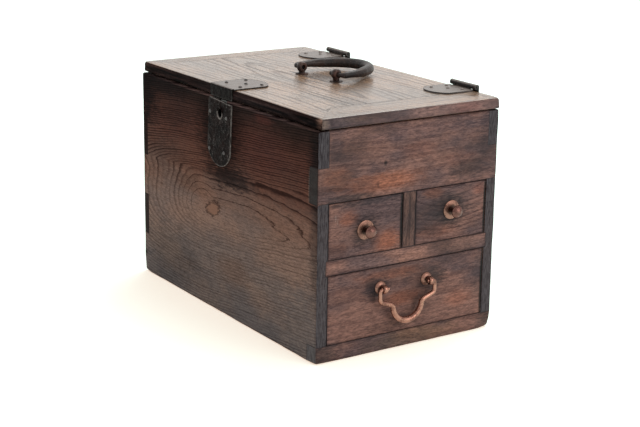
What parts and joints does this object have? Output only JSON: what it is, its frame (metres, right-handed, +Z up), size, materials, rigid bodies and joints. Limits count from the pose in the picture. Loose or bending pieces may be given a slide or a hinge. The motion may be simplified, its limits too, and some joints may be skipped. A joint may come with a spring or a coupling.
{
  "type": "writing box",
  "caption": "Wooden writing box: a hinged, locking lid with a bail handle covers a tray, over two small drawers side by side and a wide drawer with a swan-necked pull.",
  "frame": {"origin": "centre of the case's underside, on the plane that it stands on", "axes": "+Z up, -Y towards the drawers' front, +Y towards the back, +X towards the hinges, -X towards the lock"},
  "size_m": [0.2171, 0.3618, 0.2502],
  "materials": {
    "case_wood": "worn dark red-brown, handled matt",
    "lid_wood": "polished by use, semi-gloss",
    "inner_wood": "plain planed softwood, darkened by age",
    "black_iron": "forged, blackened and worn",
    "old_copper": "brown patina, rubbed on the high places"
  },
  "bodies": {
    "case": {"case_back_board": "case_wood", "case_bottom_board": "inner_wood", "case_hinge_side": "case_wood", "case_lock_side": "case_wood", "divider_board": "inner_wood", "divider_post": "case_wood", "drawer_rail": "case_wood", "drawer_runners": "inner_wood", "front_hinge_case_leaf": "black_iron", "front_hinge_pin": "black_iron", "front_sill": "case_wood", "front_upper_panel": "case_wood", "hinge_case_nails": "black_iron", "lock_case": "black_iron", "lock_plate": "black_iron", "lock_plate_nails": "black_iron", "middle_shelf": "inner_wood", "rear_hinge_case_leaf": "black_iron", "rear_hinge_pin": "black_iron", "tray_floor": "inner_wood"},
    "lid": {"lid_front_cap": "lid_wood", "lid_handle_posts": "black_iron", "lid_handle_washers": "black_iron", "lid_panel": "lid_wood", "lid_rear_cap": "lid_wood", "lid_staple": "black_iron", "lid_strap": "black_iron", "lid_strap_nails": "black_iron", "hinge_lid_nails": "black_iron", "front_hinge_lid_leaf": "black_iron", "rear_hinge_lid_leaf": "black_iron"},
    "lid_handle": {"lid_handle_bail": "black_iron"},
    "left_drawer": {"left_drawer_back": "inner_wood", "left_drawer_bottom": "inner_wood", "left_drawer_front": "case_wood", "left_drawer_knob": "old_copper", "left_drawer_knob_plate": "old_copper", "left_drawer_left_side": "inner_wood", "left_drawer_right_side": "inner_wood"},
    "right_drawer": {"right_drawer_back": "inner_wood", "right_drawer_bottom": "inner_wood", "right_drawer_front": "case_wood", "right_drawer_knob": "old_copper", "right_drawer_knob_plate": "old_copper", "right_drawer_left_side": "inner_wood", "right_drawer_right_side": "inner_wood"},
    "large_drawer": {"large_drawer_back": "inner_wood", "large_drawer_bottom": "inner_wood", "large_drawer_front": "case_wood", "large_drawer_left_side": "inner_wood", "large_drawer_pull_plates": "old_copper", "large_drawer_pull_posts": "old_copper", "large_drawer_right_side": "inner_wood"},
    "drawer_pull": {"large_drawer_bail": "old_copper"},
    "bolt": {"lock_bolt": "black_iron"}
  },
  "joints": [
    {"name": "lid_hinge", "type": "hinge", "parent": "case", "child": "lid", "pos_m": [0.10465, 0, 0.24095], "axis": [0, 1, 0], "range_deg": [0, 240]},
    {"name": "lid_handle_hinge", "type": "hinge", "parent": "lid", "child": "lid_handle", "pos_m": [0.0086, -0.0006, 0.2446], "axis": [0.134, -0.991, 0], "range_deg": [0, 170]},
    {"name": "left_drawer_slide", "type": "slide", "parent": "case", "child": "left_drawer", "axis": [0, -1, 0], "range_m": [0, 0.28]},
    {"name": "right_drawer_slide", "type": "slide", "parent": "case", "child": "right_drawer", "axis": [0, -1, 0], "range_m": [0, 0.28]},
    {"name": "large_drawer_slide", "type": "slide", "parent": "case", "child": "large_drawer", "axis": [0, -1, 0], "range_m": [0, 0.28]},
    {"name": "drawer_pull_hinge", "type": "hinge", "parent": "large_drawer", "child": "drawer_pull", "pos_m": [-0.005, -0.1814, 0.065], "axis": [-1, 0, 0], "range_deg": [-4, 165]},
    {"name": "bolt_slide", "type": "slide", "parent": "case", "child": "bolt", "axis": [0, 1, 0], "range_m": [0, 0.0065]}
  ]
}
